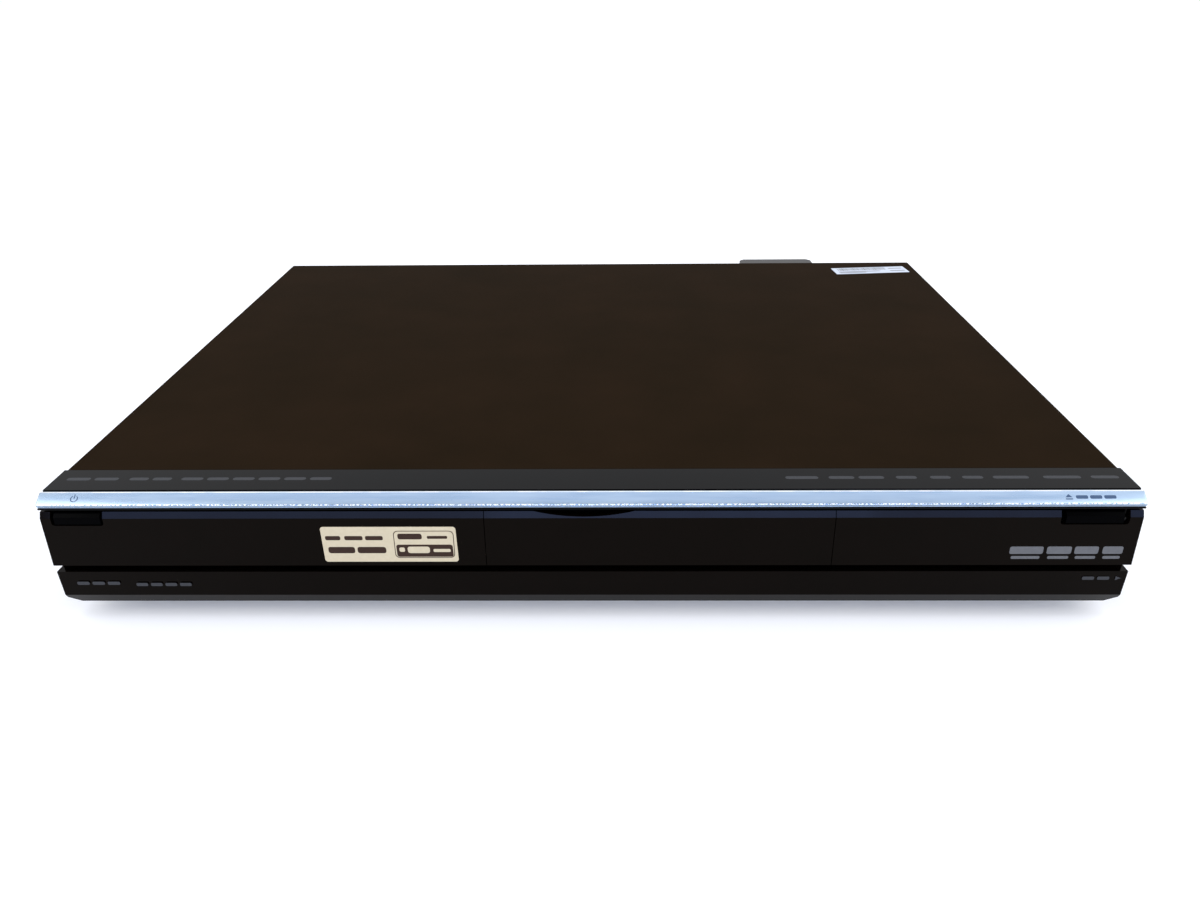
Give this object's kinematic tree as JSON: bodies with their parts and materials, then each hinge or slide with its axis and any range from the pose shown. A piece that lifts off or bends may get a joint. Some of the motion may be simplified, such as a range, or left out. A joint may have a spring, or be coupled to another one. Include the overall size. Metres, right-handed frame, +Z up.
{
  "type": "dvd hard disk recorder",
  "caption": "Slim full-width disc and hard disk recorder: opening disc tray, hinged front flap over sockets and keys, sprung keys, fan, loader and boards inside.",
  "frame": {"origin": "bottom centre of the whole recorder's box, on the plane that its feet stand on", "axes": "+X to the right of someone facing the front, +Y from the front to the back, +Z up"},
  "size_m": [0.43, 0.351, 0.059],
  "materials": {
    "cover_paint": "satin powder paint, very dark warm brown-black",
    "gloss_black": "polished black moulding",
    "brushed_trim": "brushed and clear anodised",
    "plated_steel": "zinc-plated sheet",
    "black_plastic": "fine moulded grain",
    "grey_plastic": "mid-grey moulding",
    "white_nylon": "moulded, slightly glossy",
    "rubber": "matt",
    "circuit_board": "solder-masked laminate",
    "display_glass": "smoked display front",
    "motor_steel": "drawn and turned steel",
    "cast_alloy": "die-cast, dull"
  },
  "bodies": {
    "casing": {"top_cover": "cover_paint", "front_frame": "gloss_black", "display_window": "gloss_black", "lower_panel": "gloss_black", "trim_strip": "brushed_trim", "chassis_base": "plated_steel", "rear_panel": "plated_steel", "hard_disk_bracket": "plated_steel", "clamp_bridge": "plated_steel", "card_slot": "plated_steel", "usb_socket": "plated_steel", "hdmi_socket": "plated_steel", "lan_socket": "plated_steel", "aerial_block": "plated_steel", "control_bay": "black_plastic", "front_av_jacks": "black_plastic", "loader_chassis": "black_plastic", "fan_frame": "black_plastic", "ac_inlet": "black_plastic", "optical_out": "black_plastic", "av_jack_block": "black_plastic", "fan_duct": "grey_plastic", "foot_front_left": "rubber", "foot_front_right": "rubber", "foot_rear_left": "rubber", "foot_rear_right": "rubber", "loading_belt": "rubber", "front_board": "circuit_board", "key_board": "circuit_board", "main_board": "circuit_board", "power_board": "circuit_board", "display_tube": "display_glass", "loading_motor": "motor_steel", "hard_disk": "cast_alloy"},
    "disc_tray": {"disc_tray": "black_plastic", "tray_front": "gloss_black"},
    "loading_gear": {"loading_gear": "white_nylon"},
    "motor_pulley": {"motor_pulley": "white_nylon"},
    "front_flap": {"front_flap": "gloss_black"},
    "power_key": {"power_key": "gloss_black"},
    "eject_key": {"eject_key": "gloss_black"},
    "channel_down_key": {"channel_down_key": "black_plastic"},
    "channel_up_key": {"channel_up_key": "black_plastic"},
    "stop_key": {"stop_key": "black_plastic"},
    "play_key": {"play_key": "black_plastic"},
    "fan_rotor": {"fan_rotor": "black_plastic"},
    "traverse": {"traverse_frame": "grey_plastic", "guide_rod_left": "motor_steel", "guide_rod_right": "motor_steel", "spindle_motor": "motor_steel", "sled_motor": "motor_steel"},
    "turntable": {"turntable": "black_plastic"},
    "pickup": {"pickup_sled": "cast_alloy"},
    "lead_screw": {"lead_screw": "motor_steel"},
    "clamp": {"clamp_puck": "white_nylon"}
  },
  "joints": [
    {"name": "tray_slide", "type": "slide", "parent": "casing", "child": "disc_tray", "axis": [0, -1, 0], "range_m": [0, 0.134]},
    {"name": "loading_gear_spin", "type": "hinge", "parent": "casing", "child": "loading_gear", "pos_m": [-0.0181, -0.1465, 0.0298], "axis": [0, 0, 1], "range_deg": [0, 855]},
    {"name": "motor_pulley_spin", "type": "hinge", "parent": "casing", "child": "motor_pulley", "pos_m": [0.0279, -0.1465, 0.025], "axis": [0, 0, 1], "range_deg": [0, 2800]},
    {"name": "flap_hinge", "type": "hinge", "parent": "casing", "child": "front_flap", "pos_m": [0.155, -0.1723, 0.0302], "axis": [1, 0, 0], "range_deg": [0, 95]},
    {"name": "power_press", "type": "slide", "parent": "casing", "child": "power_key", "axis": [0, 1, 0], "range_m": [0, 0.001], "stiffness_N_per_m": 250},
    {"name": "eject_press", "type": "slide", "parent": "casing", "child": "eject_key", "axis": [0, 1, 0], "range_m": [0, 0.001], "stiffness_N_per_m": 250},
    {"name": "channel_down_press", "type": "slide", "parent": "casing", "child": "channel_down_key", "axis": [0, 1, 0], "range_m": [0, 0.001], "stiffness_N_per_m": 200},
    {"name": "channel_up_press", "type": "slide", "parent": "casing", "child": "channel_up_key", "axis": [0, 1, 0], "range_m": [0, 0.001], "stiffness_N_per_m": 200},
    {"name": "stop_press", "type": "slide", "parent": "casing", "child": "stop_key", "axis": [0, 1, 0], "range_m": [0, 0.001], "stiffness_N_per_m": 200},
    {"name": "play_press", "type": "slide", "parent": "casing", "child": "play_key", "axis": [0, 1, 0], "range_m": [0, 0.001], "stiffness_N_per_m": 200},
    {"name": "fan_spin", "type": "hinge", "parent": "casing", "child": "fan_rotor", "pos_m": [0.1235, 0.1557, 0.033], "axis": [0, 1, 0], "continuous": true},
    {"name": "traverse_lift", "type": "hinge", "parent": "casing", "child": "traverse", "pos_m": [0.0279, -0.0115, 0.0205], "axis": [1, 0, 0], "range_deg": [0, 3.5]},
    {"name": "spindle_spin", "type": "hinge", "parent": "traverse", "child": "turntable", "pos_m": [0.0279, -0.1025, 0.0372], "axis": [0, 0, 1], "continuous": true},
    {"name": "clamp_spin", "type": "hinge", "parent": "casing", "child": "clamp", "pos_m": [0.0279, -0.1025, 0.0436], "axis": [0, 0, 1], "continuous": true},
    {"name": "pickup_slide", "type": "slide", "parent": "traverse", "child": "pickup", "axis": [0, 1, 0], "range_m": [-0.007, 0.028]},
    {"name": "lead_screw_spin", "type": "hinge", "parent": "traverse", "child": "lead_screw", "pos_m": [-0.0061, -0.12, 0.0263], "axis": [0, 1, 0], "range_deg": [-845, 3365]}
  ],
  "couplings": [
    {"joint": "loading_gear_spin", "follows": "tray_slide", "rad_per_m": 111.11},
    {"joint": "motor_pulley_spin", "follows": "tray_slide", "rad_per_m": 363.6},
    {"joint": "clamp_spin", "follows": "spindle_spin", "ratio": 1},
    {"joint": "lead_screw_spin", "follows": "pickup_slide", "rad_per_m": 2094.4}
  ]
}
